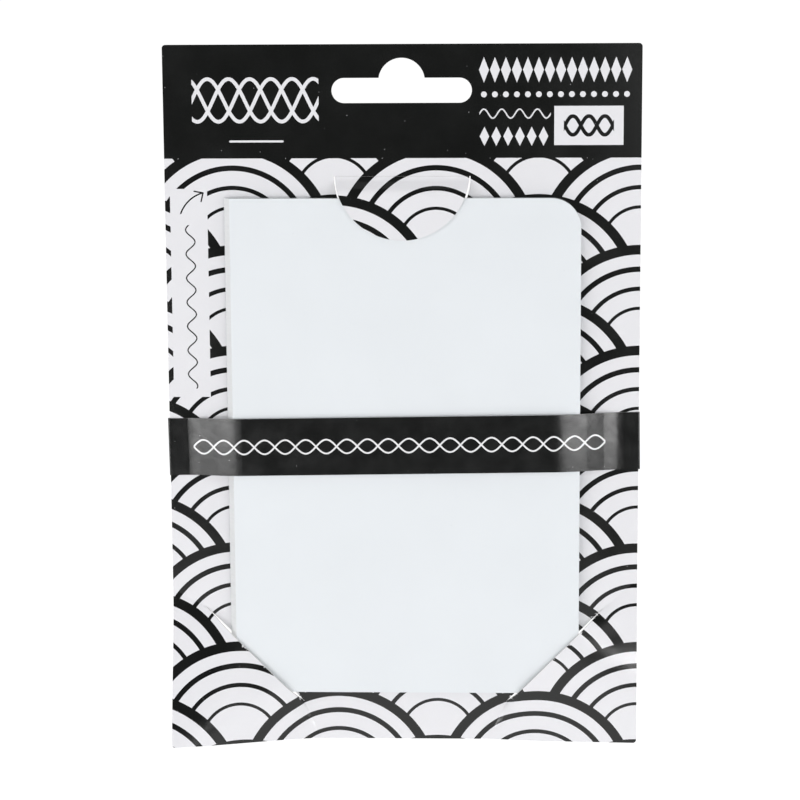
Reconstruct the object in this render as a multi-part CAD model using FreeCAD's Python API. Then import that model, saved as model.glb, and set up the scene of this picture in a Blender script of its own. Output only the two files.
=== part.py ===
import FreeCAD, Part
import math
import os

from FreeCAD import Vector

# A carded icing smoother: a clear bevelled plate, filmed on both faces, held on a printed card by
# two slit corners, a thumb tab and a paper belly band.
# X runs to the right, Z up, and the printed front faces -Y. The origin is the centre of the hang
# hole's round crown, half-way through the card.

# Clear smoothing plate, bevelled along its left edge and rounded at the corners of the other
plate_width = 105.0
plate_height = 150.0
plate_thickness = 2.0
bevel_width = 1.7
bevel_land = 0.3
grip_corner_radius = 8.8

# Printed card, one ply, with its margins round the plate
side_margin = 17.5
head_margin = 44.8
foot_margin = 15.2
card_thickness = 0.5
card_corner_radius = 1.0

# Hang hole, a straight slot with a round crown over its middle
crown_radius = 6.8
crown_top_margin = 4.0
slot_width = 41.0
slot_height = 7.3
slot_top_rise = 1.0

# Peel-off film on each face of the plate
film_thickness = 0.08

# Slip between pieces that lie on each other
slip_gap = 0.15

# Thumb tab, a half disc cut out of the card and folded over the plate's top edge
tab_radius = 19.8
tab_crease_lead = 6.3
tab_slope = 42.0
tab_cut_gap = 0.3
tab_root_run = 0.2
tab_root_radius = 2.0
tab_fold_radius = 2.5
crease_gap = 0.05

# Slanted slits, and the bowed corner flaps in front of the plate's lower corners
corner_hold = 18.5
slit_side_share = 0.43
slit_foot_share = 0.2
slit_gap = 0.3
left_corner_lift = 11.0
right_corner_lift = 3.3
left_neck_fan = 8.0
right_neck_fan = 13.0
foot_neck_fan = 8.0
slit_bow_shares = (0, 0.6, 2.4, 0, 1.15, 2.4, 0)
left_swell_shares = (0, 0, 8 / 3, 0, 0)
right_swell_shares = (0, 0, 1.9, 1.4, 0.5, 0, 0)

# Belly band, a paper strip round card and plate, lapped and glued at the back
band_height = 17.3
band_thickness = 0.2
band_centre_rise = 1.4
band_tilt = 0.85
band_side_gap = 0.2
band_rest = 7.5
band_left_rest_radius = 15.0
band_left_stand_off = 0.4
band_left_bend_inset = 0.6
band_left_bend_radius = 30.0
band_right_rest_radius = 26.0
band_right_stand_off = 0.95
band_right_bend_inset = 4.0
band_right_bend_radius = 52.0
band_lap = 16.0
lap_step = 3.0
band_fold_share = 0.25
glue_thickness = 0.1
glue_width = 10.0
glue_inset = 1.5

# How far a cutting tool runs past what it cuts
overrun = 5.0


def below_top(drop):
    """Height of a line that lies drop below the card's top edge."""
    return crown_top_margin + crown_radius - drop


def front(depth):
    """Y of a plane that stands depth in front of the card's front face."""
    return -card_thickness / 2 - depth


# Places that several pieces share
plate_side = plate_width / 2
plate_top = below_top(head_margin)
plate_bottom = plate_top - plate_height
card_side = plate_side + side_margin
card_top = below_top(0)
card_bottom = plate_bottom - foot_margin
crease_height = plate_top + tab_crease_lead
slit_side_overrun = slit_side_share * side_margin
slit_foot_overrun = slit_foot_share * foot_margin
rear_film_depth = slip_gap
plate_depth = rear_film_depth + film_thickness
front_film_depth = plate_depth + plate_thickness
cover_depth = front_film_depth + film_thickness + slip_gap


def upright_edges(shape, side):
    """Edges of a flat piece that run through its thickness, at one side of X or at both."""
    found = []
    for edge in shape.Edges:
        first = edge.Vertexes[0].Point
        last = edge.Vertexes[-1].Point
        runs_through = edge.Length > 0 and abs((last - first).normalize().y) == 1
        if runs_through and first.x * side >= 0:
            found.append(edge)
    return found


def sheet(left, right, bottom, top, depth, thickness):
    """Flat rectangular sheet whose back stands depth in front of the card's front face."""
    corner = Vector(left, front(depth + thickness), bottom)
    return Part.makeBox(right - left, thickness, top - bottom, corner)


def round_bar(radius, x, z, depth, thickness):
    """Short cylinder through the card's thickness direction."""
    return Part.makeCylinder(radius, thickness, Vector(x, front(depth + thickness), z), Vector(0, 1, 0))


def heading(points, index):
    """Unit direction of one run of a row of points."""
    return (points[index + 1] - points[index]).normalize()


def left_of(direction):
    """Unit vector to the left of a direction in its plane."""
    return Vector(-direction.y, direction.x, 0)


def shifted_row(points, shift):
    """An open row of points moved to its left by shift, with its corners kept square to both runs."""
    moved = []
    last_run = len(points) - 2
    for index, point in enumerate(points):
        before = left_of(heading(points, max(index - 1, 0)))
        after = left_of(heading(points, min(index, last_run)))
        moved.append(point + (before + after) * (shift / (1 + before.dot(after))))
    return moved


def rounded_path(points, radii, place):
    """Edges along an open row of points, with a tangent arc at each corner between its ends."""
    edges = []
    start = points[0]
    for index, radius in enumerate(radii, 1):
        corner = points[index]
        back = (points[index - 1] - corner).normalize()
        ahead = (points[index + 1] - corner).normalize()
        half_angle = back.getAngle(ahead) / 2
        enter = corner + back * (radius / math.tan(half_angle))
        leave = corner + ahead * (radius / math.tan(half_angle))
        inward = (back + ahead).normalize()
        crest = corner + inward * (radius / math.sin(half_angle) - radius)
        edges.append(Part.LineSegment(place(start), place(enter)).toShape())
        edges.append(Part.Arc(place(enter), place(crest), place(leave)).toShape())
        start = leave
    edges.append(Part.LineSegment(place(start), place(points[-1])).toShape())
    return edges


def folded_strip(points, thickness, fold_radii, place):
    """Section of a folded sheet: the points run along one face, and the sheet lies to their left."""
    other_face = shifted_row(points, thickness)
    near_radii = []
    far_radii = []
    for index, fold_radius in enumerate(fold_radii, 1):
        turn = heading(points, index - 1).cross(heading(points, index)).z
        near_radii.append(fold_radius + (thickness if turn > 0 else 0))
        far_radii.append(fold_radius + (0 if turn > 0 else thickness))
    edges = rounded_path(points, near_radii, place) + rounded_path(other_face, far_radii, place)
    for end in (0, -1):
        edges.append(Part.LineSegment(place(points[end]), place(other_face[end])).toShape())
    return Part.Face(Part.Wire(Part.sortEdges(edges)[0]))


def hang_hole():
    """Cutter for the hang hole, through the card with room to spare."""
    depth = -card_thickness - overrun
    length = card_thickness + 2 * overrun
    slot_top = slot_top_rise
    slot_bottom = slot_top - slot_height
    end_radius = slot_height / 2
    end_place = slot_width / 2 - end_radius
    cutter = sheet(-end_place, end_place, slot_bottom, slot_top, depth, length)
    for side in (-1, 1):
        cutter = cutter.fuse(round_bar(end_radius, side * end_place, slot_top - end_radius, depth, length))
    crown = round_bar(crown_radius, 0, 0, depth, length)
    above_slot = sheet(-crown_radius, crown_radius, slot_top - end_radius, crown_radius, depth, length)
    return cutter.fuse(crown.common(above_slot)).removeSplitter()


def tab_window():
    """Cutter for the half-round window that the thumb tab is cut from."""
    depth = -card_thickness - overrun
    length = card_thickness + 2 * overrun
    radius = tab_radius + tab_cut_gap
    below_crease = sheet(-radius, radius, crease_height - radius, crease_height, depth, length)
    return round_bar(radius, 0, crease_height, depth, length).common(below_crease)


class Slit:
    """One slanted slit across a lower corner of the plate; side is -1 on the left, 1 on the right."""

    def __init__(self, side, neck_fan):
        reach = plate_side + slit_side_overrun
        foot = plate_side - corner_hold - slit_foot_overrun
        outer_side = card_side + overrun
        outer_bottom = card_bottom - overrun
        self.upper = Vector(side * reach, front(0), plate_bottom + corner_hold + slit_side_overrun)
        self.lower = Vector(side * foot, front(0), plate_bottom - slit_foot_overrun)
        self.outer_upper = Vector(side * outer_side, front(0), self.upper.z + neck_fan)
        self.outer_lower = Vector(side * (foot - foot_neck_fan), front(0), outer_bottom)
        self.outer_corner = Vector(side * outer_side, front(0), outer_bottom)
        self.corner = Vector(side * card_side, front(0), card_bottom)
        self.middle = (self.upper + self.lower) / 2
        self.length = (self.lower - self.upper).Length

    def outer_pole(self):
        """Pole that draws a curve from one outer end to the other round the outer corner."""
        return self.outer_corner * 2 - (self.outer_upper + self.outer_lower) / 2

    def bow(self):
        """Scale of the bow over the slit that lets both edges of the plate pass beneath."""
        shape = Part.BezierCurve()
        shape.setPoles([Vector(0, share, 0) for share in slit_bow_shares])
        side_share = shape.value(math.sqrt(2) * slit_side_overrun / self.length).y
        foot_share = shape.value(1 - math.sqrt(2) * slit_foot_overrun / self.length).y
        return (cover_depth + card_thickness) / min(side_share, foot_share)

    def slit_line(self):
        """Front line of the flap along the slit, bowed over the plate's corner."""
        gap_share = slit_gap / (self.outer_corner - self.middle).Length
        first = self.upper + (self.outer_upper - self.upper) * gap_share
        last = self.lower + (self.outer_lower - self.lower) * gap_share
        poles = []
        for index, share in enumerate(slit_bow_shares):
            run = (last - first) * (index / (len(slit_bow_shares) - 1))
            poles.append(first + run - Vector(0, share * self.bow(), 0))
        line = Part.BezierCurve()
        line.setPoles(poles)
        return line

    def edge_line(self, lift, swell_shares):
        """Front line of the flap outside the card's edges, in a swell that leaves the card smoothly."""
        line = Part.BezierCurve()
        line.setPoles([self.outer_upper, self.outer_pole(), self.outer_lower])
        line.increase(len(swell_shares) - 1)
        slit_height = front(0) - self.slit_line().value(1 / 2).y
        corner_share = (self.corner - self.middle).Length / (self.outer_corner - self.middle).Length
        swell = slit_height + (lift - slit_height) / corner_share
        for index, share in enumerate(swell_shares, 1):
            line.setPole(index, line.getPole(index) - Vector(0, share * swell, 0))
        return line

    def flap(self, lift, swell_shares):
        """The corner's sheet beyond the slit, from the bow over the plate out to the swell."""
        swell_line = self.edge_line(lift, swell_shares)
        face = Part.makeRuledSurface(self.slit_line().toShape(), swell_line.toShape())
        return face.extrude(Vector(0, card_thickness, 0))

    def flat_corner(self):
        """Cutter for the part of the flat card that the flap takes the place of."""
        corners = [self.upper, self.lower, self.outer_lower, self.outer_pole(), self.outer_upper, self.upper]
        base = Part.Face(Part.makePolygon(corners))
        base.translate(Vector(0, -overrun, 0))
        return base.extrude(Vector(0, card_thickness + 2 * overrun, 0))


def card_outline(depth, thickness):
    """Sheet with the card's outline and rounded corners."""
    blank = sheet(-card_side, card_side, card_bottom, card_top, depth, thickness)
    return blank.makeFillet(card_corner_radius, upright_edges(blank, 0))


def display_card():
    """The card, with its hang hole, window, slits and the two flaps, in one sheet."""
    highest = card_thickness + overrun + max(left_corner_lift, right_corner_lift)
    full_depth = card_outline(-highest, 2 * highest)
    card = card_outline(-card_thickness, card_thickness).cut(hang_hole()).cut(tab_window())
    corners = [
        (Slit(-1, left_neck_fan), left_corner_lift, left_swell_shares),
        (Slit(1, right_neck_fan), right_corner_lift, right_swell_shares),
    ]
    for slit, lift, swell_shares in corners:
        flap = slit.flap(lift, swell_shares).common(full_depth)
        card = card.cut(slit.flat_corner()).fuse(flap)
    return card.removeSplitter()


def thumb_tab():
    """The half-round tab: out of the card below its crease, then flat in front of the plate."""
    slope = math.radians(tab_slope)
    rise = cover_depth + card_thickness
    slope_run = rise / math.tan(slope)
    lost_length = rise / math.sin(slope) - slope_run
    tip = crease_height + lost_length - tab_radius
    root = crease_height - crease_gap
    root_bend = root - tab_root_run - tab_root_radius * math.tan(slope / 2)
    section_row = [
        Vector(0, root, 0),
        Vector(0, root_bend, 0),
        Vector(rise, root_bend - slope_run, 0),
        Vector(rise, tip - overrun, 0),
    ]

    def place(point):
        return Vector(-tab_radius, front(point.x), point.y)

    fold_radii = [tab_fold_radius, tab_root_radius]
    section = folded_strip(section_row[::-1], card_thickness, fold_radii, place)
    strip = section.extrude(Vector(2 * tab_radius, 0, 0))
    disc_depth = -card_thickness - overrun
    disc = round_bar(tab_radius, 0, crease_height + lost_length, disc_depth, rise + 2 * overrun)
    return strip.common(disc).removeSplitter()


def smoother_plate():
    """The clear plate, bevelled to a thin land along its left front edge."""
    back = front(plate_depth)
    bevel_front = front(plate_depth + bevel_land)
    face = front(front_film_depth)
    section = Part.makePolygon([
        Vector(-plate_side, back, plate_bottom),
        Vector(-plate_side, bevel_front, plate_bottom),
        Vector(bevel_width - plate_side, face, plate_bottom),
        Vector(plate_side, face, plate_bottom),
        Vector(plate_side, back, plate_bottom),
        Vector(-plate_side, back, plate_bottom),
    ])
    plate = Part.Face(section).extrude(Vector(0, 0, plate_height))
    return plate.makeFillet(grip_corner_radius, upright_edges(plate, 1))


def film(left, depth):
    """Peel-off film, cut flush with the plate and rounded with its corners."""
    blank = sheet(left, plate_side, plate_bottom, plate_top, depth, film_thickness)
    return blank.makeFillet(grip_corner_radius, upright_edges(blank, 1))


band_centre = Vector(0, 0, (plate_top + plate_bottom) / 2 + band_centre_rise)
band_back_depth = -card_thickness - slip_gap


def tilted(piece):
    """A piece of the band, turned by the band's slight tilt on the card."""
    piece.rotate(band_centre, Vector(0, 1, 0), -band_tilt)
    return piece


def belly_band():
    """The strip, from its inner end at the back, round the front and back over that end."""
    side = card_side + band_side_gap
    rest = card_side - band_rest
    left_bend = plate_side - band_left_bend_inset
    left_depth = cover_depth + band_left_stand_off
    right_bend = plate_side - band_right_bend_inset
    right_depth = cover_depth + band_right_stand_off
    inner_end = band_lap / 2
    step_end = inner_end + slip_gap
    lap_depth = band_back_depth - band_thickness - glue_thickness
    row = [
        Vector(inner_end, band_back_depth, 0),
        Vector(-side, band_back_depth, 0),
        Vector(-side, slip_gap, 0),
        Vector(-rest, slip_gap, 0),
        Vector(-left_bend, left_depth, 0),
        Vector(right_bend, right_depth, 0),
        Vector(rest, slip_gap, 0),
        Vector(side, slip_gap, 0),
        Vector(side, band_back_depth, 0),
        Vector(step_end + lap_step, band_back_depth, 0),
        Vector(step_end, lap_depth, 0),
        Vector(-inner_end, lap_depth, 0),
    ]

    def place(point):
        return Vector(point.x, front(point.y), band_centre.z - band_height / 2)

    fold = band_fold_share * (slip_gap - band_back_depth)
    left_radii = [band_left_rest_radius, band_left_bend_radius]
    right_radii = [band_right_bend_radius, band_right_rest_radius]
    fold_radii = [fold, fold] + left_radii + right_radii + [fold, fold, fold, fold]
    section = folded_strip(row, band_thickness, fold_radii, place)
    return tilted(section.extrude(Vector(0, 0, band_height)))


def band_glue_strip():
    """The adhesive strip between the band's two lapped ends."""
    bottom = band_centre.z - band_height / 2 + glue_inset
    top = band_centre.z + band_height / 2 - glue_inset
    depth = band_back_depth - band_thickness - glue_thickness
    return tilted(sheet(-glue_width / 2, glue_width / 2, bottom, top, depth, glue_thickness))


pieces = {
    "display_card": display_card(),
    "thumb_tab": thumb_tab(),
    "smoother_plate": smoother_plate(),
    "front_film": film(bevel_width - plate_side, front_film_depth),
    "rear_film": film(-plate_side, rear_film_depth),
    "belly_band": belly_band(),
    "band_glue_strip": band_glue_strip(),
}

os.makedirs("parts", exist_ok=True)
for name, shape in pieces.items():
    shape.exportStep(f"parts/{name}.step")
    print(name, "valid" if shape.isValid() else "not valid", len(shape.Solids), round(shape.Volume, 3))
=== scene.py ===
"""Finishes a carded icing smoother: printed card, thumb tab, clear plate, peel films and belly band."""

import math

import bmesh
import bpy
from mathutils import Matrix, Vector


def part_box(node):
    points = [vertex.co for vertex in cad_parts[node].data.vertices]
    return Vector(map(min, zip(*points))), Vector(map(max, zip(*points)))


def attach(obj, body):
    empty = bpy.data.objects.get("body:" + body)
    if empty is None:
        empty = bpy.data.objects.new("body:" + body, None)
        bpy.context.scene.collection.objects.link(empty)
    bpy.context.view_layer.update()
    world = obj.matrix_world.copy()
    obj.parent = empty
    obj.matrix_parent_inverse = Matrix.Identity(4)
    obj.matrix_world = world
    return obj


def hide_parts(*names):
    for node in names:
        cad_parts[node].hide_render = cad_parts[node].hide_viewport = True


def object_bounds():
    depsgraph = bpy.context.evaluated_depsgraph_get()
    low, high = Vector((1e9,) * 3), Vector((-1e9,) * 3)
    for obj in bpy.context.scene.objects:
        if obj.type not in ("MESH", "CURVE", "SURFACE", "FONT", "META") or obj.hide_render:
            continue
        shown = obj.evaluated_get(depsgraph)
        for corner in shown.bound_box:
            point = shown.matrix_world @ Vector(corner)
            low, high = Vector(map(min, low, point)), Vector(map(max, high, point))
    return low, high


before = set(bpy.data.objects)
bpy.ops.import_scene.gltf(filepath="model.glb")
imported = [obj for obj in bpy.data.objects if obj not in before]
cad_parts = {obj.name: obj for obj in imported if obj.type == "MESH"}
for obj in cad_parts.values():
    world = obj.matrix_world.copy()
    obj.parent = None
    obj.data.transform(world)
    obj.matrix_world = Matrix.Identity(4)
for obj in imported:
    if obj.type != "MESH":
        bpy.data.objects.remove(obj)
cad_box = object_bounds()

bl_info = {
    "name": "Carded Icing Smoother",
    "version": (1, 0, 0),
    "blender": (4, 5, 0),
    "location": "View3D > Sidebar > Smoother",
    "description": "Finishes the card, tab, plate, films and band of a carded icing smoother and lights them",
    "category": "Object",
}

MILLIMETRES_PER_METRE = 1000.0
ACRYLIC_INDEX = 1.49
FILM_INDEX = 1.5
BARE_PAPER_ROUGHNESS = 0.8
LEAST_FACING = 0.5
TONE_LOW, TONE_HIGH = 0.3, 0.7
SENSOR_MILLIMETRES = 36.0
WHITE = (1.0, 1.0, 1.0, 1.0)


def length(label, description, millimetres):
    """A size that a user may change."""
    metres = millimetres / MILLIMETRES_PER_METRE
    return bpy.props.FloatProperty(
        name=label, description=description, default=metres, unit="LENGTH", precision=5
    )


def share(label, description, value):
    """A value between 0 and 1."""
    return bpy.props.FloatProperty(
        name=label, description=description, default=value, min=0.0, max=1.0, subtype="FACTOR"
    )


def angle(label, description, degrees):
    """An angle, given in degrees."""
    return bpy.props.FloatProperty(
        name=label, description=description, default=math.radians(degrees), subtype="ANGLE"
    )


def power(label, description, watts):
    """The power of a lamp."""
    return bpy.props.FloatProperty(
        name=label, description=description, default=watts, min=0.0, subtype="POWER"
    )


def colour(label, description, red, green, blue):
    """A linear colour."""
    return bpy.props.FloatVectorProperty(
        name=label, description=description, default=(red, green, blue), min=0.0, max=1.0, subtype="COLOR"
    )


class CardSettings(bpy.types.PropertyGroup):
    """Sizes and colours of the printed card and its tab."""

    ink: colour("Ink", "Black print", 0.0060, 0.0066, 0.0062)
    board: colour("Board", "Coated front of the card", 0.800, 0.798, 0.825)
    reverse: colour("Reverse", "Plain back of the card", 0.665, 0.660, 0.640)
    raw_edge: colour("Raw Edge", "Cut edges of the card", 0.640, 0.630, 0.610)
    fleck: colour("Fleck", "Flecks of waste fibre in the back", 0.330, 0.315, 0.290)
    gloss: share("Gloss Roughness", "Roughness of the coated front", 0.15)
    header_height: length("Header Height", "Height of the black header", 33.2)
    scale_radius: length("Scale Radius", "Radius of one scale of the pattern", 30.0)
    scale_outline: length("Scale Outline", "Width of the outer line of a scale", 2.9)
    scale_line: length("Scale Line", "Width of the widest inner line of a scale", 1.6)
    scale_step: length("Scale Step", "Distance from one line of a scale to the next", 5.8)
    scale_across: length("Scale Across", "Middle of one scale, to the right of the hang hole", 10.0)
    scale_drop: length("Scale Drop", "Middle of one scale, below the hang hole", 48.0)


class PlateSettings(bpy.types.PropertyGroup):
    """Sizes and colours of the clear plate and its films."""

    acrylic: colour("Acrylic", "Clear sheet", 0.955, 0.985, 0.985)
    # Painted light: the edge colour is kept pale to stand in for light glowing in the sheet.
    edge: colour("Edge", "Edges of the sheet, pale with the light in it", 0.800, 0.875, 0.880)
    bevel: colour("Bevel", "Satin face of the bevel", 0.800, 0.812, 0.822)
    bevel_width: length("Bevel Width", "Width of the bevel along the left edge", 1.7)
    bevel_land: length("Bevel Land", "Thickness left at the bevelled edge", 0.3)
    corner_radius: length("Corner Radius", "Rounding of the two corners on the right", 8.8)
    edge_break: length("Edge Break", "Rounding of the polished edges", 0.06)
    film_slip: length("Film Slip", "Air between the sheet and a film", 0.012)
    film: colour("Film", "Milky peel-off film", 0.780, 0.812, 0.840)
    film_dust: colour("Film Dust", "Specks of dust on a film", 0.450, 0.460, 0.470)
    film_gloss: share("Film Roughness", "Roughness of the film", 0.36)


class BandSettings(bpy.types.PropertyGroup):
    """Sizes and colours of the belly band and its glue."""

    ink: colour("Ink", "Glossy black print", 0.0075, 0.0080, 0.0078)
    line: colour("Line", "Thin line ornament", 0.820, 0.820, 0.830)
    paper: colour("Paper", "Unprinted inside and cut edges", 0.560, 0.555, 0.545)
    gloss: share("Gloss Roughness", "Roughness of the printed face", 0.16)
    tilt: angle("Tilt", "Turn of the band on the card", 0.85)
    wave_start: length("Wave Start", "Left end of the ornament, to the right of the hang hole", -62.9)
    wave_height: length("Wave Height", "Swing of the ornament to either side", 2.1)
    wave_length: length("Wave Length", "Length of one wave of the ornament", 12.3)
    wave_count: bpy.props.IntProperty(name="Wave Count", description="Waves in the ornament", default=10)
    wave_line: length("Wave Line", "Width of the ornament's line", 0.5)
    glue: colour("Glue", "Dried adhesive", 0.560, 0.430, 0.200)


class StageSettings(bpy.types.PropertyGroup):
    """The camera, the floor and the lamps."""

    azimuth: angle("Azimuth", "How far the camera stands to the right", 2.18)
    elevation: angle("Elevation", "How far the camera stands above its aim", 10.18)
    roll: angle("Roll", "How far the camera is turned about its view", -0.334)
    distance: length("Distance", "From the camera to its aim", 780.5)
    aim_across: length("Aim Across", "Aim, to the right of the hang hole", -1.0)
    aim_drop: length("Aim Drop", "Aim, below the hang hole", 94.44)
    lens: bpy.props.FloatProperty(name="Lens", description="Focal length", default=117.88, unit="CAMERA")
    floor_drop: length("Floor Drop", "From the card's lowest edge to the floor", 150.0)
    floor_front: length("Floor Front", "How far the floor reaches in front of the card", 800.0)
    floor_reach: length("Floor Reach", "How far the floor reaches to each side and behind", 15000.0)
    sky: share("Sky", "Strength of the even light from all round", 0.585)
    strip_reach: length("Strip Reach", "From the card to a low strip", 1100.0)
    strip_drop: length("Strip Drop", "Middle of a low strip, below the hang hole", 275.0)
    strip_height: length("Strip Height", "Height of a low strip", 90.0)
    strip_power: power("Strip Power", "Power of one metre of a low strip", 2.8)
    left_turn: angle("Left Turn", "How far the left strip stands to the side", 28.0)
    left_width: length("Left Width", "Width of the left strip", 480.0)
    right_turn: angle("Right Turn", "How far the right strip stands to the side", 22.5)
    right_width: length("Right Width", "Width of the right strip", 330.0)
    lamp_drop: length("Lamp Drop", "Point that the softboxes face, below the hang hole", 100.0)
    side_across: length("Side Across", "How far a side softbox stands to the side", 1200.0)
    side_depth: length("Side Depth", "How far it stands in front of the card or behind it", 780.0)
    side_size: length("Side Size", "Width and height of a side softbox", 800.0)
    side_power: power("Side Power", "Power of a side softbox", 4.8)
    upper_across: length("Upper Across", "How far an upper softbox stands to the side", 900.0)
    upper_rise: length("Upper Rise", "How far it stands above the hang hole", 900.0)
    upper_size: length("Upper Size", "Width and height of an upper softbox", 600.0)
    upper_power: power("Upper Power", "Power of an upper softbox", 2.688)
    glow_across: length("Glow Across", "How far the header's lamp stands to the right", 245.0)
    glow_reach: length("Glow Reach", "From the card to the header's lamp", 1100.0)
    glow_drop: length("Glow Drop", "Middle of the header's lamp, below the hang hole", 40.0)
    glow_width: length("Glow Width", "Width of the header's lamp", 220.0)
    glow_height: length("Glow Height", "Height of the header's lamp", 180.0)
    glow_power: power("Glow Power", "Power of the header's lamp", 0.13)


def in_millimetres(metres):
    """A length in millimetres, in which all places on a sheet are given."""
    return metres * MILLIMETRES_PER_METRE


def feed(tree, socket, value):
    """Links an output to a socket, or writes a plain value on it."""
    if isinstance(value, bpy.types.NodeSocket):
        tree.links.new(value, socket)
    else:
        socket.default_value = value


def add(tree, kind, inputs=None, **options):
    """A new node with its options set and its named or numbered inputs fed."""
    node = tree.nodes.new(kind)
    for option, value in options.items():
        setattr(node, option, value)
    for key, value in (inputs or {}).items():
        feed(tree, node.inputs[key], value)
    return node


def calc(tree, operation, *values):
    """Output of a Math node."""
    return add(tree, "ShaderNodeMath", dict(enumerate(values)), operation=operation).outputs[0]


def rescale(tree, value, low, high, new_low, new_high):
    """Output of a clamped Map Range node."""
    return add(tree, "ShaderNodeMapRange", dict(enumerate((value, low, high, new_low, new_high)))).outputs[0]


def mix(tree, factor, first, second):
    """A colour between first and second."""
    node = add(tree, "ShaderNodeMix", data_type="RGBA")
    sockets = {socket.identifier: socket for socket in node.inputs}
    feed(tree, sockets["Factor_Float"], factor)
    for socket, tone in ((sockets["A_Color"], first), (sockets["B_Color"], second)):
        feed(tree, socket, tone if isinstance(tone, bpy.types.NodeSocket) else (*tone, 1.0))
    return next(socket for socket in node.outputs if socket.identifier == "Result_Color")


def shaded(tree, tone, base, dark, light):
    """A colour that runs from a dark to a light share of itself."""
    return mix(tree, tone, [dark * part for part in base], [light * part for part in base])


def varied(tree, tone, low, high):
    """A value that runs from low to high with a surface's tone."""
    return rescale(tree, tone, TONE_LOW, TONE_HIGH, low, high)


def new_group(name, inputs, outputs):
    """An empty node group with plain number sockets; returns its tree, inner inputs and inner outputs."""
    tree = bpy.data.node_groups.new(name, "ShaderNodeTree")
    for label in inputs:
        tree.interface.new_socket(label, in_out="INPUT", socket_type="NodeSocketFloat")
    for label in outputs:
        tree.interface.new_socket(label, in_out="OUTPUT", socket_type="NodeSocketFloat")
    return tree, tree.nodes.new("NodeGroupInput").outputs, tree.nodes.new("NodeGroupOutput").inputs


def filled_group(tree, name, inputs):
    """A node group in a material; returns its outputs."""
    return add(tree, "ShaderNodeGroup", inputs, node_tree=bpy.data.node_groups[name]).outputs


def flat_point(tree, across, up):
    """A point on a sheet as a vector."""
    return add(tree, "ShaderNodeCombineXYZ", {0: across, 1: up}).outputs[0]


def flat_noise(tree, across, up, scale, detail, roughness=0.5):
    """Noise over a sheet, from 0 to 1 with its middle at one half."""
    return add(tree, "ShaderNodeTexNoise", {
        "Vector": flat_point(tree, across, up),
        "Scale": scale,
        "Detail": detail,
        "Roughness": roughness,
    }, noise_dimensions="2D").outputs[0]


def build_scales():
    """Traditional wave scales: rows of outlined discs with arcs inside, each row over those above it."""
    tree, given, result = new_group("Scales", ["Across", "Up", "Radius", "Outline", "Line", "Step"], ["Ink"])
    rows_that_reach = (2.0, 1.0, 0.0, -1.0)
    thinning = 0.2
    middle_arc, arc_reach = 2.0, 1.4
    radius = given["Radius"]
    pitch = calc(tree, "MULTIPLY", radius, 0.5)
    rows = calc(tree, "DIVIDE", given["Up"], pitch)
    even_run = calc(tree, "PINGPONG", given["Across"], radius)
    odd_run = calc(tree, "SUBTRACT", radius, even_run)
    depth = 0.0
    for offset in rows_that_reach:
        row = calc(tree, "ADD", calc(tree, "FLOOR", rows), offset)
        odd = calc(tree, "PINGPONG", row, 1.0)
        even_share = calc(tree, "MULTIPLY", even_run, calc(tree, "SUBTRACT", 1.0, odd))
        run = calc(tree, "MULTIPLY_ADD", odd_run, odd, even_share)
        rise = calc(tree, "MULTIPLY", calc(tree, "SUBTRACT", rows, row), pitch)
        squares = calc(tree, "MULTIPLY_ADD", run, run, calc(tree, "MULTIPLY", rise, rise))
        inside = calc(tree, "SUBTRACT", radius, calc(tree, "SQRT", squares))
        covers = calc(tree, "GREATER_THAN", inside, 0.0)
        behind = calc(tree, "MULTIPLY", depth, calc(tree, "SUBTRACT", 1.0, covers))
        depth = calc(tree, "MULTIPLY_ADD", inside, covers, behind)
    outline = calc(tree, "LESS_THAN", depth, given["Outline"])
    inner = calc(tree, "SUBTRACT", depth, calc(tree, "MULTIPLY", given["Outline"], 0.5))
    steps = calc(tree, "DIVIDE", inner, given["Step"])
    off_line = calc(tree, "PINGPONG", calc(tree, "MULTIPLY", steps, 2.0), 1.0)
    taper = calc(tree, "MULTIPLY_ADD", steps, -thinning, 1.0 + thinning)
    reach = calc(tree, "DIVIDE", calc(tree, "MULTIPLY", given["Line"], taper), given["Step"])
    in_arcs = calc(tree, "COMPARE", steps, middle_arc, arc_reach)
    arc = calc(tree, "MULTIPLY", calc(tree, "LESS_THAN", off_line, reach), in_arcs)
    feed(tree, result["Ink"], calc(tree, "MAXIMUM", outline, arc))


def build_panel():
    """Mask of an upright rectangle."""
    tree, given, result = new_group("Panel", ["Across", "Up", "Left", "Right", "Bottom", "Top"], ["Mask"])
    mask = 1.0
    for place, low, high in (("Across", "Left", "Right"), ("Up", "Bottom", "Top")):
        mask = calc(tree, "MULTIPLY", mask, calc(tree, "GREATER_THAN", given[place], given[low]))
        mask = calc(tree, "MULTIPLY", mask, calc(tree, "LESS_THAN", given[place], given[high]))
    feed(tree, result["Mask"], mask)


def build_wave_line():
    """Mask of an even pen line that swings from side to side."""
    tree, given, result = new_group("Wave Line", ["Along", "Aside", "Height", "Length", "Width"], ["Mask"])
    turns = calc(tree, "DIVIDE", 2 * math.pi, given["Length"])
    phase = calc(tree, "MULTIPLY", given["Along"], turns)
    middle = calc(tree, "MULTIPLY", calc(tree, "SINE", phase), given["Height"])
    steepest = calc(tree, "MULTIPLY", given["Height"], turns)
    slope = calc(tree, "MULTIPLY", calc(tree, "COSINE", phase), steepest)
    stretch = calc(tree, "SQRT", calc(tree, "MULTIPLY_ADD", slope, slope, 1.0))
    beside = calc(tree, "ABSOLUTE", calc(tree, "SUBTRACT", given["Aside"], middle))
    off = calc(tree, "DIVIDE", beside, stretch)
    feed(tree, result["Mask"], calc(tree, "LESS_THAN", off, calc(tree, "MULTIPLY", given["Width"], 0.5)))


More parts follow.
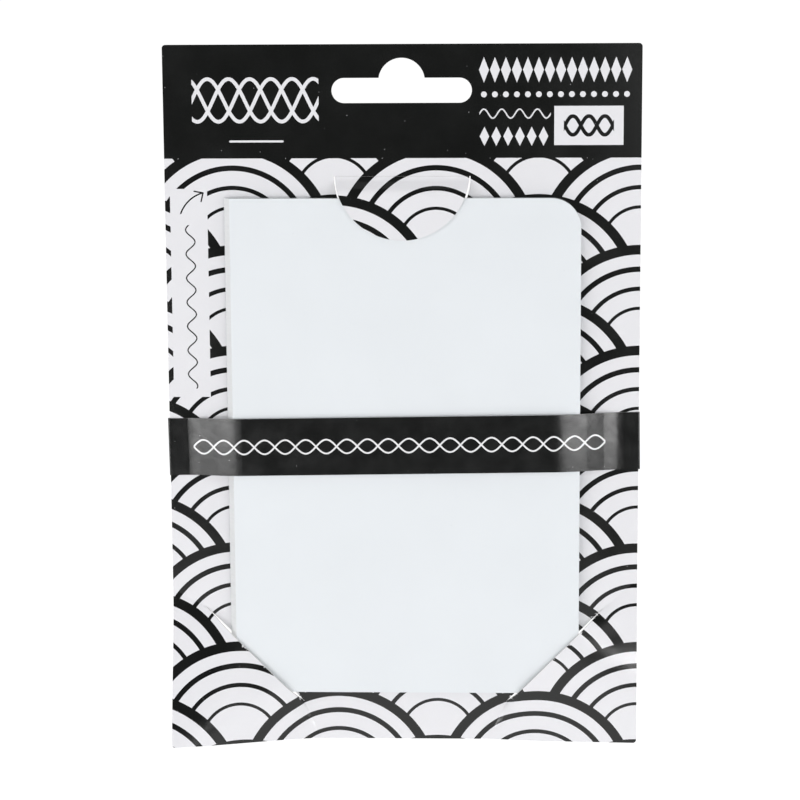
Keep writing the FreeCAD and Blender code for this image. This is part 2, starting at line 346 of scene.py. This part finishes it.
def build_bead_row():
    """Masks of a row of round beads and of a row of lozenges."""
    tree, given, result = new_group(
        "Bead Row", ["Along", "Aside", "Pitch", "Half Length", "Half Height"], ["Beads", "Lozenges"]
    )
    half_pitch = calc(tree, "MULTIPLY", given["Pitch"], 0.5)
    run = calc(tree, "PINGPONG", calc(tree, "ADD", given["Along"], half_pitch), half_pitch)
    run = calc(tree, "DIVIDE", calc(tree, "SUBTRACT", half_pitch, run), given["Half Length"])
    rise = calc(tree, "DIVIDE", calc(tree, "ABSOLUTE", given["Aside"]), given["Half Height"])
    squares = calc(tree, "MULTIPLY_ADD", run, run, calc(tree, "MULTIPLY", rise, rise))
    feed(tree, result["Beads"], calc(tree, "LESS_THAN", squares, 1.0))
    feed(tree, result["Lozenges"], calc(tree, "LESS_THAN", calc(tree, "ADD", run, rise), 1.0))


def build_line_distance():
    """Distance from a straight line between two points."""
    ends = ["Start Across", "Start Up", "End Across", "End Up"]
    tree, given, result = new_group("Line Distance", ["Across", "Up"] + ends, ["Distance"])
    start = flat_point(tree, given["Start Across"], given["Start Up"])
    end = flat_point(tree, given["End Across"], given["End Up"])
    run = add(tree, "ShaderNodeVectorMath", {0: end, 1: start}, operation="SUBTRACT").outputs[0]
    here = flat_point(tree, given["Across"], given["Up"])
    here = add(tree, "ShaderNodeVectorMath", {0: here, 1: start}, operation="SUBTRACT").outputs[0]
    gone = add(tree, "ShaderNodeVectorMath", {0: here, 1: run}, operation="DOT_PRODUCT").outputs["Value"]
    whole = add(tree, "ShaderNodeVectorMath", {0: run, 1: run}, operation="DOT_PRODUCT").outputs["Value"]
    part = rescale(tree, calc(tree, "DIVIDE", gone, whole), 0.0, 1.0, 0.0, 1.0)
    foot = add(tree, "ShaderNodeVectorMath", {0: run, "Scale": part}, operation="SCALE").outputs[0]
    off = add(tree, "ShaderNodeVectorMath", {0: here, 1: foot}, operation="DISTANCE").outputs["Value"]
    feed(tree, result["Distance"], off)


def build_specks():
    """Mask of scattered specks, of which a share is kept."""
    tree, given, result = new_group("Specks", ["Across", "Up", "Spread", "Radius", "Share"], ["Mask"])
    cells = add(tree, "ShaderNodeTexVoronoi", {
        "Vector": flat_point(tree, given["Across"], given["Up"]),
        "Scale": calc(tree, "DIVIDE", 1.0, given["Spread"]),
    }, voronoi_dimensions="2D")
    pick = add(tree, "ShaderNodeSeparateColor", {0: cells.outputs["Color"]})
    widest = calc(tree, "DIVIDE", given["Radius"], given["Spread"])
    size = calc(tree, "MULTIPLY", widest, pick.outputs["Green"])
    near = calc(tree, "LESS_THAN", cells.outputs["Distance"], size)
    kept = calc(tree, "LESS_THAN", pick.outputs["Red"], given["Share"])
    feed(tree, result["Mask"], calc(tree, "MULTIPLY", near, kept))


def build_grain():
    """Soft mottling of a surface, from 0 to 1 with its middle at one half."""
    tree, given, result = new_group("Grain", ["Across", "Up", "Size", "Detail"], ["Tone"])
    scale = calc(tree, "DIVIDE", 1.0, given["Size"])
    tone = flat_noise(tree, given["Across"], given["Up"], scale, given["Detail"], roughness=0.55)
    feed(tree, result["Tone"], tone)


def build_chips():
    """Mask of ink that has flaked off beside a cut."""
    tree, given, result = new_group("Chips", ["Across", "Up", "Distance", "Reach", "Size"], ["Mask"])
    level_at_cut, level_at_reach = 0.54, 0.95
    scale = calc(tree, "DIVIDE", 1.0, given["Size"])
    noise = flat_noise(tree, given["Across"], given["Up"], scale, detail=3.0, roughness=0.7)
    level = rescale(tree, given["Distance"], 0.0, given["Reach"], level_at_cut, level_at_reach)
    feed(tree, result["Mask"], calc(tree, "GREATER_THAN", noise, level))


class Sheet:
    """A sheet's own surface in a material: places on it in millimetres, its faces and its marks."""

    def __init__(self, tree):
        self.tree = tree
        origin = add(tree, "ShaderNodeTexCoord").outputs
        place = {0: origin["Object"], "Scale": MILLIMETRES_PER_METRE}
        scaled = add(tree, "ShaderNodeVectorMath", place, operation="SCALE").outputs[0]
        axes = add(tree, "ShaderNodeSeparateXYZ", {0: scaled}).outputs
        self.across, self.depth, self.up = axes["X"], axes["Y"], axes["Z"]
        turns = add(tree, "ShaderNodeSeparateXYZ", {0: origin["Normal"]}).outputs
        self.facing_x, self.facing_y = turns["X"], turns["Y"]

    def calc(self, operation, *values):
        return calc(self.tree, operation, *values)

    def group(self, name, **inputs):
        """A group that reads the place on the sheet; its input names are written with underscores."""
        named = {key.replace("_", " ").title(): value for key, value in inputs.items()}
        return filled_group(self.tree, name, {"Across": self.across, "Up": self.up, **named})

    def front(self):
        """Mask of the faces that look to the front."""
        return self.calc("LESS_THAN", self.facing_y, -LEAST_FACING)

    def back(self):
        """Mask of the faces that look to the rear."""
        return self.calc("GREATER_THAN", self.facing_y, LEAST_FACING)

    def from_right(self, place):
        """How far a point lies to the right of a place."""
        return self.calc("SUBTRACT", self.across, place)

    def from_height(self, place):
        """How far a point lies above a height."""
        return self.calc("SUBTRACT", self.up, place)

    def panel(self, left, right, bottom, top):
        return self.group("Panel", left=left, right=right, bottom=bottom, top=top)["Mask"]

    def distance(self, start, end):
        """Distance from the straight line between two points."""
        return self.group(
            "Line Distance", start_across=start[0], start_up=start[1], end_across=end[0], end_up=end[1]
        )["Distance"]

    def line(self, start, end, width):
        return self.calc("LESS_THAN", self.distance(start, end), width / 2)

    def wave(self, along, aside, height, span, width):
        inputs = {"Along": along, "Aside": aside, "Height": height, "Length": span, "Width": width}
        return filled_group(self.tree, "Wave Line", inputs)["Mask"]

    def wave_row(self, left, right, middle, height, span, width, start):
        """A wave that runs across the sheet from its left to its right end."""
        row = self.wave(self.from_right(start), self.from_height(middle), height, span, width)
        reach = abs(height) + width
        return self.both(row, self.panel(left, right, middle - reach, middle + reach))

    def bead_row(self, kind, first, count, middle, pitch, half_length, half_height):
        """A row of beads or lozenges that runs across the sheet."""
        row = filled_group(self.tree, "Bead Row", {
            "Along": self.from_right(first),
            "Aside": self.from_height(middle),
            "Pitch": pitch,
            "Half Length": half_length,
            "Half Height": half_height,
        })[kind]
        left = first - pitch / 2
        ends = self.panel(left, left + count * pitch, middle - half_height, middle + half_height)
        return self.both(row, ends)

    def grain(self, size, detail):
        return self.group("Grain", size=size, detail=detail)["Tone"]

    def specks(self, spread, radius, kept, strength):
        """Specks of a few sizes, all of one strength."""
        mask = self.group("Specks", spread=spread, radius=radius, share=kept)["Mask"]
        return self.both(mask, strength)

    def both(self, first, second):
        return self.calc("MULTIPLY", first, second)

    def either(self, first, second):
        return self.calc("MAXIMUM", first, second)

    def without(self, first, second):
        return self.calc("MULTIPLY", first, self.calc("SUBTRACT", 1.0, second))

    def choose(self, mask, inside, outside):
        """One value inside a mask and another outside it."""
        return self.calc("ADD", self.both(inside, mask), self.without(outside, mask))

    def bump(self, height, depth):
        """Normal of a surface raised by a height map, depth given in millimetres."""
        distance = depth / MILLIMETRES_PER_METRE
        return add(self.tree, "ShaderNodeBump", {"Height": height, "Distance": distance}).outputs[0]


def new_material(name):
    """An empty material; returns the material and its tree."""
    material = bpy.data.materials.new(name)
    material.use_nodes = True
    material.node_tree.nodes.clear()
    return material, material.node_tree


def surface(tree, shader):
    """Feeds a shader node to the material's output."""
    tree.links.new(shader.outputs[0], add(tree, "ShaderNodeOutputMaterial").inputs["Surface"])


def finish_node(name, material):
    """Gives a carried-over piece its material."""
    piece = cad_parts[name]
    piece.data.materials.clear()
    piece.data.materials.append(material)


def header_art(sheet, header):
    """The header's ink: solid black, with rows of white ornament and a white box."""
    plait_left, plait_length, strands = -61.5, 18.6, 3
    rule_left, rule_right, rule_height = -50.4, -35.0, -17.4
    row_start, row_pitch, row_count = 24.0, 3.2, 14
    thin_left = 22.7
    box_swing = 2.7
    white = [
        sheet.wave_row(
            left=plait_left, right=-24.3, middle=-5.4, height=6.2, span=plait_length, width=1.05,
            start=plait_left - strand * plait_length / strands,
        )
        for strand in range(strands)
    ]
    white.append(sheet.line((rule_left, rule_height), (rule_right, rule_height), width=0.6))
    white.append(sheet.bead_row(
        "Lozenges", row_start, row_count, middle=3.2, pitch=row_pitch, half_length=1.45, half_height=3.7
    ))
    white.append(sheet.bead_row(
        "Beads", row_start, row_count, middle=-3.9, pitch=row_pitch, half_length=0.85, half_height=0.85
    ))
    white.append(sheet.wave_row(
        left=thin_left, right=43.5, middle=-9.5, height=1.3, span=5.2, width=0.4, start=thin_left
    ))
    white.append(sheet.bead_row(
        "Lozenges", first=24.15, count=6, middle=-16.1, pitch=3.45, half_length=1.4, half_height=2.8
    ))
    white.append(sheet.panel(left=44.5, right=64.7, bottom=-18.7, top=-7.3))
    ink = header
    for mark in white:
        ink = sheet.without(ink, mark)
    for swing in (box_swing, -box_swing):
        ink = sheet.either(ink, sheet.wave_row(
            left=47.3, right=61.9, middle=-13.0, height=swing, span=9.3, width=1.1, start=47.6
        ))
    return ink


def side_art(sheet, ink):
    """The white strip at the left with a wavy pen line and a curved arrow."""
    pen_start, pen_bottom, pen_top = -92.0, -91.0, -42.0
    pen_middle, pen_swing, pen_length, pen_line = -62.7, 1.35, 7.2, 0.38
    arc_across, arc_height, arc_radius, arc_line = -56.1, -42.0, 9.9, 0.44
    tip, barbs, barb_line = (-58.7, -32.5), ((-61.3, -32.0), (-59.3, -35.0)), 0.42
    ink = sheet.without(ink, sheet.panel(left=-68.5, right=-57.5, bottom=-93.5, top=-31.3))
    pen = sheet.wave(
        sheet.from_height(pen_start), sheet.from_right(pen_middle), pen_swing, pen_length, pen_line
    )
    pen_reach = pen_swing + pen_line
    ends = sheet.panel(pen_middle - pen_reach, pen_middle + pen_reach, pen_bottom, pen_top)
    ink = sheet.either(ink, sheet.both(pen, ends))
    run = sheet.from_right(arc_across)
    rise = sheet.from_height(arc_height)
    reach = sheet.calc("SQRT", sheet.calc("ADD", sheet.both(run, run), sheet.both(rise, rise)))
    arc = sheet.calc("COMPARE", reach, arc_radius, arc_line / 2)
    stretch = sheet.panel(left=-67.0, right=-58.8, bottom=-38.7, top=-31.0)
    ink = sheet.either(ink, sheet.both(arc, stretch))
    for barb in barbs:
        ink = sheet.either(ink, sheet.line(tip, barb, barb_line))
    return ink


def worn_ink(sheet, ink):
    """Ink with flakes gone beside the two slits, and specks of dust on it."""
    slit_head, slit_foot = (60.0, -158.0), (31.0, -187.0)
    left, right = (
        sheet.distance((side * slit_head[0], slit_head[1]), (side * slit_foot[0], slit_foot[1]))
        for side in (-1.0, 1.0)
    )
    cut = sheet.calc("MINIMUM", left, right)
    ink = sheet.without(ink, sheet.group("Chips", distance=cut, reach=1.6, size=0.9)["Mask"])
    return sheet.without(ink, sheet.specks(spread=9.0, radius=0.16, kept=0.5, strength=0.3))


def printed_board(settings):
    """Coated board with the black print on its front, a plain back and raw edges."""
    material, tree = new_material("printed board")
    sheet = Sheet(tree)
    cloud_strength = 0.16
    card_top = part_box("display_card")[1].z
    header = sheet.calc("GREATER_THAN", sheet.up, in_millimetres(card_top - settings.header_height))
    scales = filled_group(tree, "Scales", {
        "Across": sheet.from_right(in_millimetres(settings.scale_across)),
        "Up": sheet.from_height(-in_millimetres(settings.scale_drop)),
        "Radius": in_millimetres(settings.scale_radius),
        "Outline": in_millimetres(settings.scale_outline),
        "Line": in_millimetres(settings.scale_line),
        "Step": in_millimetres(settings.scale_step),
    })["Ink"]
    ink = sheet.without(side_art(sheet, scales), header)
    ink = worn_ink(sheet, sheet.either(ink, header_art(sheet, header)))
    mottle = sheet.grain(size=14.0, detail=3.0)
    fibres = sheet.grain(size=0.35, detail=4.0)
    black = shaded(tree, mottle, settings.ink, 0.75, 1.25)
    white = shaded(tree, fibres, settings.board, 0.975, 1.02)
    raw = shaded(tree, fibres, settings.raw_edge, 0.82, 1.0)
    plain = shaded(tree, fibres, settings.reverse, 0.90, 1.07)
    clouds = sheet.without(cloud_strength, mottle)
    plain = mix(tree, clouds, plain, settings.raw_edge)
    flecks = sheet.specks(spread=3.4, radius=0.36, kept=0.4, strength=0.35)
    plain = mix(tree, flecks, plain, settings.fleck)
    front = sheet.front()
    edged = mix(tree, front, raw, mix(tree, ink, white, black))
    coat = varied(tree, mottle, settings.gloss - 0.04, settings.gloss + 0.05)
    surface(tree, add(tree, "ShaderNodeBsdfPrincipled", {
        "Base Color": mix(tree, sheet.back(), edged, plain),
        "Roughness": sheet.choose(front, coat, BARE_PAPER_ROUGHNESS),
        "Normal": sheet.bump(fibres, depth=0.006),
    }))
    return material


def clear_acrylic(settings):
    """Clear polished sheet, faintly hazed by its films."""
    material, tree = new_material("clear acrylic")
    haze = Sheet(tree).grain(size=4.0, detail=3.0)
    surface(tree, add(tree, "ShaderNodeBsdfPrincipled", {
        "Base Color": (*settings.acrylic, 1.0),
        "Roughness": rescale(tree, haze, 0.4, 0.8, 0.01, 0.05),
        "IOR": ACRYLIC_INDEX,
        "Transmission Weight": 1.0,
    }))
    return material


def polished_edge(settings):
    """Edge of the sheet: faint saw marks under the polish, with a pale colour that paints in the light the
    films let in.
    """
    material, tree = new_material("polished edge")
    sheet = Sheet(tree)
    stretch_through = 0.4
    through = sheet.calc("MULTIPLY", sheet.depth, stretch_through)
    round_edge = sheet.calc("ADD", sheet.up, sheet.across)
    marks = flat_noise(tree, through, round_edge, scale=3.0, detail=3.0)
    surface(tree, add(tree, "ShaderNodeBsdfPrincipled", {
        # Painted light: the pale edge colour stands in for light that glows in the sheet.
        "Base Color": shaded(tree, marks, settings.edge, 0.85, 1.0),
        "Roughness": varied(tree, marks, 0.06, 0.2),
        "IOR": ACRYLIC_INDEX,
        "Transmission Weight": 0.3,
        "Normal": sheet.bump(marks, depth=0.01),
    }))
    return material


def milled_bevel(settings):
    """The bevel's face, left satin by the cutter that milled it along the edge."""
    material, tree = new_material("milled bevel")
    sheet = Sheet(tree)
    stretch_across = 0.3
    across = sheet.calc("MULTIPLY", sheet.across, stretch_across)
    ripple = flat_noise(tree, across, sheet.up, scale=1.6, detail=4.0)
    surface(tree, add(tree, "ShaderNodeBsdfPrincipled", {
        "Base Color": shaded(tree, ripple, settings.bevel, 0.94, 1.04),
        "Roughness": varied(tree, ripple, 0.34, 0.46),
        "IOR": ACRYLIC_INDEX,
        "Transmission Weight": 0.08,
        "Normal": sheet.bump(ripple, depth=0.008),
    }))
    return material


def peel_film(settings):
    """Milky film, faintly mottled by its adhesive and marked by handling."""
    material, tree = new_material("peel film")
    sheet = Sheet(tree)
    cloud_swell = 6.0
    clouds = sheet.grain(size=30.0, detail=2.0)
    fine = sheet.grain(size=0.8, detail=3.0)
    tone = shaded(tree, clouds, settings.film, 0.975, 1.02)
    dust = sheet.specks(spread=11.0, radius=0.2, kept=0.45, strength=0.12)
    height = sheet.calc("MULTIPLY_ADD", clouds, cloud_swell, fine)
    surface(tree, add(tree, "ShaderNodeBsdfPrincipled", {
        "Base Color": mix(tree, dust, tone, settings.film_dust),
        "Roughness": rescale(tree, fine, 0.25, 0.75, settings.film_gloss - 0.05, settings.film_gloss + 0.06),
        "IOR": FILM_INDEX,
        "Normal": sheet.bump(height, depth=0.004),
    }))
    return material


def band_line(sheet, settings):
    """The band's ornament: two thin waves that cross each other on its front."""
    low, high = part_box("belly_band")
    lean = sheet.calc("MULTIPLY", sheet.across, -math.tan(settings.tilt))
    aside = sheet.calc("ADD", sheet.from_height(in_millimetres(low.z + high.z) / 2), lean)
    start = in_millimetres(settings.wave_start)
    span = in_millimetres(settings.wave_length)
    height = in_millimetres(settings.wave_height)
    width = in_millimetres(settings.wave_line)
    rising, falling = (
        sheet.wave(sheet.from_right(start), aside, swing, span, width) for swing in (height, -height)
    )
    half_run = settings.wave_count * span / 2
    ends = sheet.calc("COMPARE", sheet.from_right(start + half_run), 0.0, half_run)
    return sheet.both(sheet.both(sheet.either(rising, falling), ends), sheet.front())


def black_paper(settings):
    """Glossy black printed paper with a thin interlaced line, white inside and at its cut edges."""
    material, tree = new_material("black paper")
    sheet = Sheet(tree)
    side_weight, least_outward = 0.05, 0.05
    mottle_swell, fibre_swell = 3.0, 0.5
    sideways = sheet.both(sheet.facing_x, sheet.across)
    outward = sheet.calc("MULTIPLY_ADD", sideways, side_weight, sheet.both(sheet.facing_y, sheet.depth))
    printed = sheet.calc("GREATER_THAN", outward, least_outward)
    mottle = sheet.grain(size=6.0, detail=3.0)
    fibres = sheet.grain(size=0.3, detail=4.0)
    black = shaded(tree, mottle, settings.ink, 0.8, 1.25)
    art = mix(tree, band_line(sheet, settings), black, settings.line)
    dust = sheet.specks(spread=8.0, radius=0.14, kept=0.5, strength=0.35)
    art = mix(tree, dust, art, settings.line)
    paper = shaded(tree, fibres, settings.paper, 0.85, 1.1)
    coat = varied(tree, mottle, settings.gloss - 0.03, settings.gloss + 0.05)
    height = sheet.calc("MULTIPLY_ADD", mottle, mottle_swell, sheet.both(fibres, fibre_swell))
    surface(tree, add(tree, "ShaderNodeBsdfPrincipled", {
        "Base Color": mix(tree, printed, paper, art),
        "Roughness": sheet.choose(printed, coat, BARE_PAPER_ROUGHNESS),
        "Normal": sheet.bump(height, depth=0.01),
    }))
    return material


def dried_glue(settings):
    """Dried amber adhesive."""
    material, tree = new_material("dried glue")
    sheet = Sheet(tree)
    blobs = sheet.grain(size=1.2, detail=2.0)
    surface(tree, add(tree, "ShaderNodeBsdfPrincipled", {
        "Base Color": shaded(tree, blobs, settings.glue, 0.75, 1.25),
        "Roughness": varied(tree, blobs, 0.3, 0.5),
        "Normal": sheet.bump(blobs, depth=0.03),
    }))
    return material


def plate_rings(settings):
    """Outlines of the clear plate at its back, at the bevel's land and at its front face."""
    low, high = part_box("smoother_plate")
    radius = settings.corner_radius
    steps = 20
    outline = [(low.x, low.z)]
    for start, centre_z in ((-math.pi / 2, low.z + radius), (0.0, high.z - radius)):
        for step in range(steps + 1):
            turn = start + step / steps * math.pi / 2
            outline.append((high.x - radius + radius * math.cos(turn), centre_z + radius * math.sin(turn)))
    outline.append((low.x, high.z))
    back = high.y - settings.film_slip
    land = high.y - settings.bevel_land
    front = low.y + settings.film_slip
    left_ends = (0, len(outline) - 1)
    rings = []
    for depth, inset in ((back, 0.0), (land, 0.0), (front, settings.bevel_width)):
        insets = [inset if index in left_ends else 0.0 for index in range(len(outline))]
        rings.append([(x + shift, depth, z) for shift, (x, z) in zip(insets, outline)])
    return rings


class SMOOTHER_OT_groups(bpy.types.Operator):
    """Builds the node groups that the materials share"""

    bl_idname = "smoother.groups"
    bl_label = "Build Shared Effects"

    def execute(self, context):
        build_scales()
        build_panel()
        build_wave_line()
        build_bead_row()
        build_line_distance()
        build_specks()
        build_grain()
        build_chips()
        return {"FINISHED"}


class SMOOTHER_OT_card(bpy.types.Operator):
    """Prints the display card and its thumb tab"""

    bl_idname = "smoother.card"
    bl_label = "Print Card and Tab"

    def execute(self, context):
        board = printed_board(context.scene.smoother_card)
        finish_node("display_card", board)
        finish_node("thumb_tab", board)
        return {"FINISHED"}


class SMOOTHER_OT_plate(bpy.types.Operator):
    """Makes the clear plate with polished edges"""

    bl_idname = "smoother.plate"
    bl_label = "Make Clear Plate"

    def execute(self, context):
        settings = context.scene.smoother_plate
        sharp_degrees = 25
        mesh = self.make_mesh(settings)
        for finish in (clear_acrylic, polished_edge, milled_bevel):
            mesh.materials.append(finish(settings))
        plate = bpy.data.objects.new("clear_plate", mesh)
        context.scene.collection.objects.link(plate)
        rounding = plate.modifiers.new("edge break", "BEVEL")
        rounding.width = settings.edge_break
        rounding.segments = 2
        rounding.limit_method = "ANGLE"
        rounding.angle_limit = math.radians(sharp_degrees)
        plate.modifiers.new("flat faces", "WEIGHTED_NORMAL").keep_sharp = True
        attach(plate, "smoother")
        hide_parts("smoother_plate")
        return {"FINISHED"}

    def make_mesh(self, settings):
        """The plate's two faces, its edges and, as the last side face, its bevel."""
        edge_slot, bevel_slot = 1, 2
        form = bmesh.new()
        rings = [[form.verts.new(point) for point in ring] for ring in plate_rings(settings)]
        count = len(rings[0])
        for lower, upper in zip(rings, rings[1:]):
            for index in range(count):
                after = (index + 1) % count
                side = form.faces.new((lower[index], lower[after], upper[after], upper[index]))
                side.material_index = edge_slot
        side.material_index = bevel_slot
        form.faces.new(rings[0])
        form.faces.new(rings[-1])
        bmesh.ops.recalc_face_normals(form, faces=form.faces)
        mesh = bpy.data.meshes.new("clear_plate")
        form.to_mesh(mesh)
        form.free()
        mesh.shade_smooth()
        return mesh


class SMOOTHER_OT_films(bpy.types.Operator):
    """Finishes the two peel-off films"""

    bl_idname = "smoother.films"
    bl_label = "Finish Films"

    def execute(self, context):
        film = peel_film(context.scene.smoother_plate)
        finish_node("front_film", film)
        finish_node("rear_film", film)
        return {"FINISHED"}


class SMOOTHER_OT_band(bpy.types.Operator):
    """Prints the belly band and finishes its glue"""

    bl_idname = "smoother.band"
    bl_label = "Print Belly Band"

    def execute(self, context):
        settings = context.scene.smoother_band
        finish_node("belly_band", black_paper(settings))
        finish_node("band_glue_strip", dried_glue(settings))
        return {"FINISHED"}


def softbox(scene, name, place, aim, width, height, watts):
    """A rectangular lamp that faces a point."""
    lamp = bpy.data.lights.new(name, "AREA")
    lamp.shape = "RECTANGLE"
    lamp.size = width
    lamp.size_y = height
    lamp.energy = watts
    holder = bpy.data.objects.new(name, lamp)
    holder.location = place
    holder.rotation_mode = "QUATERNION"
    holder.rotation_quaternion = (Vector(aim) - Vector(place)).to_track_quat("-Z", "Y")
    scene.collection.objects.link(holder)


def seen_directly(tree):
    """Two masks: rays from the camera, and rays from a mirror or clear glass."""
    path = add(tree, "ShaderNodeLightPath").outputs
    mirrored = calc(tree, "MAXIMUM", path["Is Glossy Ray"], path["Is Transmission Ray"])
    return path["Is Camera Ray"], mirrored


class SMOOTHER_OT_stage(bpy.types.Operator):
    """Sets up the camera, the floor and the light"""

    bl_idname = "smoother.stage"
    bl_label = "Set Stage"

    def execute(self, context):
        scene = context.scene
        settings = scene.smoother_stage
        scene.view_settings.view_transform = "Standard"
        self.set_camera(scene, settings)
        self.lay_floor(scene, settings)
        self.light_room(scene, settings)
        self.place_lamps(scene, settings)
        return {"FINISHED"}

    def set_camera(self, scene, settings):
        """Camera at the photograph's angle."""
        side = settings.azimuth
        rise = settings.elevation
        back = Vector((math.sin(side) * math.cos(rise), -math.cos(side) * math.cos(rise), math.sin(rise)))
        right = Vector((math.cos(side), math.sin(side), 0.0))
        level = Matrix((right, back.cross(right), back)).transposed()
        turned = level @ Matrix.Rotation(settings.roll, 3, "Z")
        aim = Vector((settings.aim_across, 0.0, -settings.aim_drop))
        lens = bpy.data.cameras.new("camera")
        lens.lens = settings.lens
        lens.sensor_width = SENSOR_MILLIMETRES
        holder = bpy.data.objects.new("camera", lens)
        holder.matrix_world = Matrix.Translation(aim + back * settings.distance) @ turned.to_4x4()
        scene.collection.objects.link(holder)
        scene.camera = holder

    def lay_floor(self, scene, settings):
        """Pale floor below the hanging card, which runs far behind it; its matt share keeps a shadow."""
        white_share, white_strength = 0.8, 1.17
        matt_tone = (0.9, 0.9, 0.9, 1.0)
        level = cad_box[0].z - settings.floor_drop
        side = settings.floor_reach
        near = -settings.floor_front
        corners = [(-side, near, level), (side, near, level), (side, side, level), (-side, side, level)]
        mesh = bpy.data.meshes.new("floor")
        mesh.from_pydata(corners, [], [(0, 1, 2, 3)])
        material, tree = new_material("pale floor")
        camera, mirrored = seen_directly(tree)
        seen = calc(tree, "MAXIMUM", camera, mirrored)
        matt = add(tree, "ShaderNodeBsdfDiffuse", {"Color": matt_tone}).outputs[0]
        white = add(tree, "ShaderNodeEmission", {"Color": WHITE, "Strength": white_strength}).outputs[0]
        shares = {0: calc(tree, "MULTIPLY", seen, white_share), 1: matt, 2: white}
        surface(tree, add(tree, "ShaderNodeMixShader", shares))
        mesh.materials.append(material)
        floor = bpy.data.objects.new("floor", mesh)
        scene.collection.objects.link(floor)

    def light_room(self, scene, settings):
        """Even light from all round; mirrors see white behind the card and a dim room in front of it."""
        dim_until, dim = -0.35, 0.1
        white_from, white = 0.1, 1.0
        world = bpy.data.worlds.new("studio")
        world.use_nodes = True
        tree = world.node_tree
        tree.nodes.clear()
        camera, mirrored = seen_directly(tree)
        heading = add(tree, "ShaderNodeTexCoord").outputs["Generated"]
        to_rear = add(tree, "ShaderNodeSeparateXYZ", {0: heading}).outputs["Y"]
        room = rescale(tree, to_rear, dim_until, white_from, dim, white)
        even = calc(tree, "MULTIPLY", calc(tree, "SUBTRACT", 1.0, mirrored), settings.sky)
        strength = calc(tree, "MAXIMUM", even, calc(tree, "MULTIPLY", mirrored, room))
        strength = calc(tree, "MAXIMUM", strength, camera)
        sky = add(tree, "ShaderNodeBackground", {"Color": WHITE, "Strength": strength})
        tree.links.new(sky.outputs[0], add(tree, "ShaderNodeOutputWorld").inputs["Surface"])
        scene.world = world

    def place_lamps(self, scene, settings):
        """Low strips for the band's slopes, softboxes at the sides and a small lamp for the header."""
        reach = settings.strip_reach
        drop = -settings.strip_drop
        for name, turn, width in (
            ("left strip", -settings.left_turn, settings.left_width),
            ("right strip", settings.right_turn, settings.right_width),
        ):
            place = (reach * math.sin(turn), -reach * math.cos(turn), drop)
            watts = width * settings.strip_power
            softbox(scene, name, place, (0.0, 0.0, drop), width, settings.strip_height, watts)
        aim = (0.0, 0.0, -settings.lamp_drop)
        size, upper_size = settings.side_size, settings.upper_size
        for name, side in (("left softbox", -1.0), ("right softbox", 1.0)):
            for end, depth in (("front", -settings.side_depth), ("rear", settings.side_depth)):
                place = (side * settings.side_across, depth, -settings.lamp_drop)
                softbox(scene, f"{name} {end}", place, aim, size, size, settings.side_power)
            place = (side * settings.upper_across, 0.0, settings.upper_rise)
            softbox(scene, f"{name} upper", place, aim, upper_size, upper_size, settings.upper_power)
        across, low = settings.glow_across, -settings.glow_drop
        place = (across, -settings.glow_reach, low)
        width, height = settings.glow_width, settings.glow_height
        softbox(scene, "header panel", place, (across, 0.0, low), width, height, settings.glow_power)


class SMOOTHER_PT_panel(bpy.types.Panel):
    """Lists the settings and the steps"""

    bl_idname = "SMOOTHER_PT_panel"
    bl_label = "Carded Icing Smoother"
    bl_space_type = "VIEW_3D"
    bl_region_type = "UI"
    bl_category = "Smoother"

    def draw(self, context):
        for operator in OPERATORS:
            self.layout.operator(operator.bl_idname)
        for name in SETTINGS:
            box = self.layout.box()
            for setting in SETTINGS[name].__annotations__:
                box.prop(getattr(context.scene, name), setting)


SETTINGS = {
    "smoother_card": CardSettings,
    "smoother_plate": PlateSettings,
    "smoother_band": BandSettings,
    "smoother_stage": StageSettings,
}
OPERATORS = (
    SMOOTHER_OT_groups,
    SMOOTHER_OT_card,
    SMOOTHER_OT_plate,
    SMOOTHER_OT_films,
    SMOOTHER_OT_band,
    SMOOTHER_OT_stage,
)


def register():
    for item in (*SETTINGS.values(), *OPERATORS, SMOOTHER_PT_panel):
        bpy.utils.register_class(item)
    for name, item in SETTINGS.items():
        setattr(bpy.types.Scene, name, bpy.props.PointerProperty(type=item))


def unregister():
    for name in SETTINGS:
        delattr(bpy.types.Scene, name)
    for item in reversed((*SETTINGS.values(), *OPERATORS, SMOOTHER_PT_panel)):
        bpy.utils.unregister_class(item)


def main():
    """Registers the add-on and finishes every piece."""
    register()
    bpy.ops.smoother.groups()
    bpy.ops.smoother.card()
    bpy.ops.smoother.plate()
    bpy.ops.smoother.films()
    bpy.ops.smoother.band()
    bpy.ops.smoother.stage()


if __name__ == "__main__":
    main()
